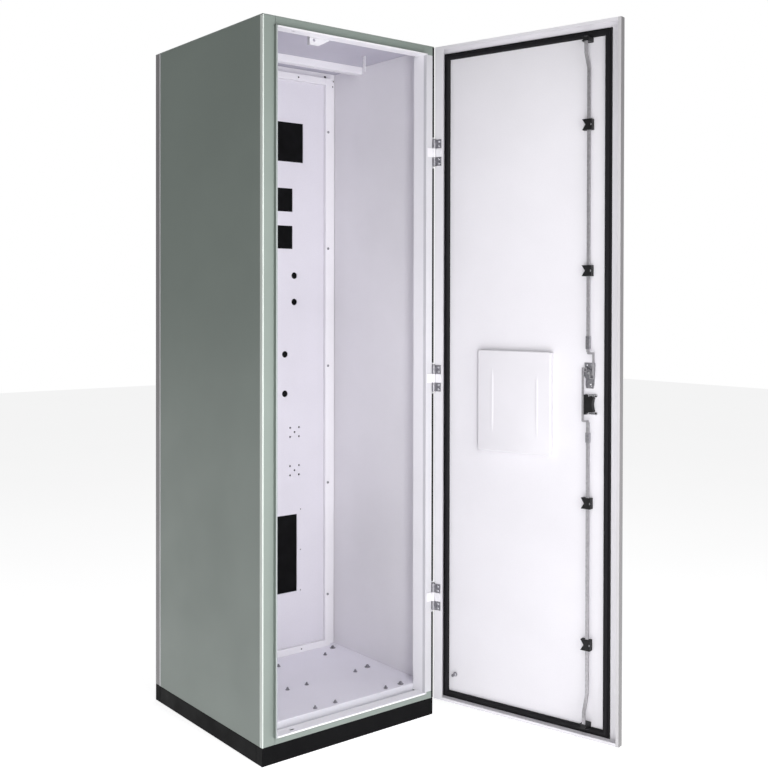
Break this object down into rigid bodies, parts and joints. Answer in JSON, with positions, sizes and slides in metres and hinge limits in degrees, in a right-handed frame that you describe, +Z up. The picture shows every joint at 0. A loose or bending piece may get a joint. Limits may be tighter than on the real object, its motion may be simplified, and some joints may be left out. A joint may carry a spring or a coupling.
{
  "type": "floor-standing battery cabinet",
  "caption": "Tall sheet-steel battery cabinet on a plinth, with one hinged door, a rod lock with a swing handle, and an instrument panel at the back.",
  "frame": {"origin": "on the floor under the front plinth rail, in the middle of its foot", "axes": "+X to the right of someone facing the door opening, +Y from front to back, +Z up"},
  "size_m": [0.7728, 1.1991, 2],
  "materials": {
    "outer_paint": "fine texture, satin",
    "inner_paint": "satin",
    "plinth_paint": "satin",
    "gasket_foam": "foamed, matte",
    "black_plastic": "moulded, matte",
    "pocket_plastic": "moulded, semi-gloss",
    "zinc_steel": "zinc plated"
  },
  "bodies": {
    "cabinet": {"plinth_front_rail": "plinth_paint", "plinth_rear_rail": "plinth_paint", "plinth_left_rail": "plinth_paint", "plinth_right_rail": "plinth_paint", "front_post_left": "outer_paint", "front_post_right": "outer_paint", "front_top_rail": "outer_paint", "front_bottom_rail": "outer_paint", "side_wall_left": "outer_paint", "side_wall_right": "outer_paint", "roof_panel": "outer_paint", "rear_post_left": "inner_paint", "rear_post_right": "inner_paint", "rear_top_rail": "inner_paint", "rear_bottom_rail": "inner_paint", "rear_cover": "outer_paint", "floor_plate": "inner_paint", "instrument_panel": "inner_paint", "panel_rail_left": "inner_paint", "panel_rail_right": "inner_paint", "panel_rail_top": "inner_paint", "panel_rail_bottom": "inner_paint", "roof_stiffener": "inner_paint", "roof_bracket": "inner_paint", "cable_tab": "inner_paint", "hinge_leaf_top": "inner_paint", "hinge_leaf_middle": "inner_paint", "hinge_leaf_bottom": "inner_paint", "hinge_pin_top": "zinc_steel", "hinge_pin_middle": "zinc_steel", "hinge_pin_bottom": "zinc_steel"},
    "door": {"door_shell": "inner_paint", "door_gasket": "gasket_foam", "document_pocket": "pocket_plastic", "rod_guide_upper_outer": "black_plastic", "rod_guide_upper_inner": "black_plastic", "rod_guide_lower_inner": "black_plastic", "rod_guide_lower_outer": "black_plastic", "rod_end_guide_top": "black_plastic", "rod_end_guide_bottom": "black_plastic", "ground_stud": "zinc_steel", "handle_base": "black_plastic", "lock_housing": "black_plastic", "latch_plate": "zinc_steel", "door_hinge_top": "zinc_steel", "door_hinge_middle": "zinc_steel", "door_hinge_bottom": "zinc_steel"},
    "handle": {"handle_spindle": "zinc_steel", "lever_pin": "zinc_steel", "lock_cam": "zinc_steel"},
    "lever": {"handle_lever": "black_plastic"},
    "key_cover": {"key_cover": "black_plastic"},
    "key_cylinder": {"key_cylinder": "zinc_steel"},
    "upper_rod": {"upper_rod": "zinc_steel"},
    "lower_rod": {"lower_rod": "zinc_steel"}
  },
  "joints": [
    {"name": "door_hinge", "type": "hinge", "parent": "cabinet", "child": "door", "pos_m": [0.2985, -0.0175, 1.01], "axis": [0, 0, 1], "range_deg": [-104.8, 25.2]},
    {"name": "handle_turn", "type": "hinge", "parent": "door", "child": "handle", "pos_m": [0.4481, -0.49565, 1.045], "axis": [-0.9668, -0.2554, 0], "range_deg": [0, 90]},
    {"name": "lever_lift", "type": "hinge", "parent": "handle", "child": "lever", "pos_m": [0.46116, -0.4922, 1.045], "axis": [0, 0, -1], "range_deg": [0, 40]},
    {"name": "key_cover_swivel", "type": "hinge", "parent": "lever", "child": "key_cover", "pos_m": [0.44969, -0.42334, 1.045], "axis": [-0.9668, -0.2554, 0], "range_deg": [-100, 100]},
    {"name": "key_turn", "type": "hinge", "parent": "door", "child": "key_cylinder", "pos_m": [0.4542, -0.49404, 0.96], "axis": [-0.9668, -0.2554, 0], "range_deg": [0, 90]},
    {"name": "upper_rod_slide", "type": "slide", "parent": "door", "child": "upper_rod", "axis": [0, 0, 1], "range_m": [0, 0.0181]},
    {"name": "lower_rod_slide", "type": "slide", "parent": "door", "child": "lower_rod", "axis": [0, 0, -1], "range_m": [0, 0.0181]}
  ],
  "couplings": [
    {"joint": "upper_rod_slide", "follows": "handle_turn", "m_per_rad": 0.01147},
    {"joint": "lower_rod_slide", "follows": "handle_turn", "m_per_rad": 0.01147}
  ]
}
